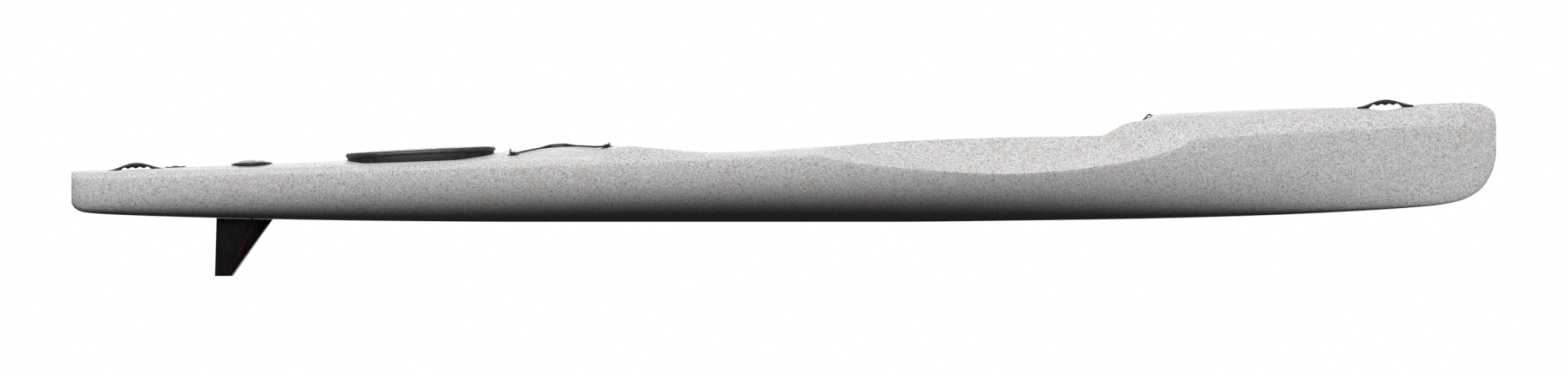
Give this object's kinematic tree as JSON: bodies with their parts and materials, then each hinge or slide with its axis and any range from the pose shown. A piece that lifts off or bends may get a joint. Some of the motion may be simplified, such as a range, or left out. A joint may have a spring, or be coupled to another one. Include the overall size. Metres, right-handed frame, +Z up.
{
  "type": "surfski kayak",
  "caption": "Sit-on-top sea racing kayak with a long scooped cockpit, under-stern rudder, adjustable pedal footboard, rear hatch, deck bungee and carry handles.",
  "frame": {"origin": "middle of the flat of the keel, on the centre plane, halfway along the hull, at the lowest level of the hull", "axes": "+X to the bow, +Y to port, +Z up"},
  "size_m": [4.27, 0.6, 0.531],
  "materials": {
    "hull_polyethylene": "satin rotomoulded polyethylene, warm light grey with fine dark grey granite specks",
    "black_fitting": "satin black moulded nylon",
    "black_rubber": "soft matte black rubber",
    "bungee_cord": "black woven sheath over a rubber core",
    "rudder_black": "gloss black moulded blade with a dark red line and a grey leading edge",
    "stainless": "brushed stainless steel",
    "anodised_aluminium": "silver anodised extrusion",
    "white_nylon": "natural turned nylon",
    "conduit_plastic": "translucent polyethylene tube",
    "rudder_line": "braided low-stretch cord",
    "webbing": "black woven webbing",
    "foam": "closed-cell foam"
  },
  "bodies": {
    "boat": {"hull": "hull_polyethylene", "front_foam_pillar": "foam", "rear_foam_pillar": "foam", "seat_foam_block": "foam", "bow_handle": "black_fitting", "bow_handle_screw_aft": "stainless", "bow_handle_screw_fore": "stainless", "stern_handle": "black_fitting", "stern_handle_screw_aft": "stainless", "stern_handle_screw_fore": "stainless", "rear_hatch_rim": "black_fitting", "rudder_port_ring": "black_fitting", "rudder_port_screw_1": "stainless", "rudder_port_screw_2": "stainless", "rudder_port_screw_3": "stainless", "rudder_port_screw_4": "stainless", "drain_socket": "black_fitting", "drain_screw_aft": "stainless", "drain_screw_fore": "stainless", "rudder_tube": "black_fitting", "rudder_lower_bush": "white_nylon", "rudder_upper_bush": "white_nylon", "port_line_conduit": "conduit_plastic", "starboard_line_conduit": "conduit_plastic", "port_rudder_line": "rudder_line", "starboard_rudder_line": "rudder_line", "deck_bungee": "bungee_cord", "bungee_post_aft_starboard": "black_fitting", "bungee_post_fore_port": "black_fitting", "bungee_post_fore_starboard": "black_fitting", "bungee_post_aft_port": "black_fitting", "bungee_screw_aft_starboard": "stainless", "bungee_screw_fore_port": "stainless", "bungee_screw_fore_starboard": "stainless", "bungee_screw_aft_port": "stainless", "leash_eye": "stainless", "leash_eye_screw_aft": "stainless", "leash_eye_screw_fore": "stainless", "footboard_track": "anodised_aluminium", "track_screw_aft": "stainless", "track_screw_fore": "stainless", "bailer_housing": "black_fitting", "bailer_pin": "stainless"},
    "rudder": {"rudder_shaft": "stainless", "rudder_blade": "rudder_black", "rudder_tiller": "anodised_aluminium", "tiller_set_screw": "stainless"},
    "hatch_lid": {"rear_hatch_cover": "black_rubber"},
    "port_lid": {"rudder_port_cap": "black_fitting", "rudder_port_seal": "black_rubber"},
    "drain_stopper": {"drain_plug": "black_fitting"},
    "foot_unit": {"footboard": "black_fitting", "footboard_carriage": "black_fitting", "pedal_pin": "stainless", "foot_strap": "webbing"},
    "clamp": {"clamp_knob": "black_fitting"},
    "port_toe_pedal": {"port_pedal": "black_fitting"},
    "starboard_toe_pedal": {"starboard_pedal": "black_fitting"},
    "bailer_gate": {"bailer_flap": "black_fitting", "bailer_lever": "black_fitting"}
  },
  "joints": [
    {"name": "rudder_turn", "type": "hinge", "parent": "boat", "child": "rudder", "pos_m": [-1.59442, 0, 0.02], "axis": [0, 0, 1], "range_deg": [-30, 30], "deforming": ["port_rudder_line", "starboard_rudder_line"]},
    {"name": "footboard_slide", "type": "slide", "parent": "boat", "child": "foot_unit", "axis": [1, 0, 0], "range_m": [-0.18, 0.075], "deforming": ["port_rudder_line", "starboard_rudder_line"]},
    {"name": "port_pedal_tilt", "type": "hinge", "parent": "foot_unit", "child": "port_toe_pedal", "pos_m": [0.81702, 0.0487, 0.18648], "axis": [0, 1, 0], "range_deg": [-26, 26], "deforming": ["port_rudder_line"]},
    {"name": "starboard_pedal_tilt", "type": "hinge", "parent": "foot_unit", "child": "starboard_toe_pedal", "pos_m": [0.81702, -0.0487, 0.18648], "axis": [0, 1, 0], "range_deg": [-26, 26], "deforming": ["starboard_rudder_line"]},
    {"name": "clamp_turn", "type": "hinge", "parent": "foot_unit", "child": "clamp", "pos_m": [0.79866, 0.0373, 0.0603], "axis": [0, 1, 0], "continuous": true},
    {"name": "hatch_lift", "type": "slide", "parent": "boat", "child": "hatch_lid", "axis": [-0.0518, 0, 0.9987], "range_m": [0, 0.12]},
    {"name": "port_lid_lift", "type": "slide", "parent": "boat", "child": "port_lid", "axis": [-0.0372, 0, 0.9993], "range_m": [0, 0.05]},
    {"name": "drain_lift", "type": "slide", "parent": "boat", "child": "drain_stopper", "axis": [-0.0385, 0, 0.9993], "range_m": [0, 0.03]},
    {"name": "bailer_swing", "type": "hinge", "parent": "boat", "child": "bailer_gate", "pos_m": [0.49156, 0, 0.0118], "axis": [0, 1, 0], "range_deg": [-20, 0]}
  ],
  "couplings": [
    {"joint": "port_pedal_tilt", "follows": "rudder_turn", "ratio": -0.84},
    {"joint": "starboard_pedal_tilt", "follows": "rudder_turn", "ratio": 0.84}
  ]
}
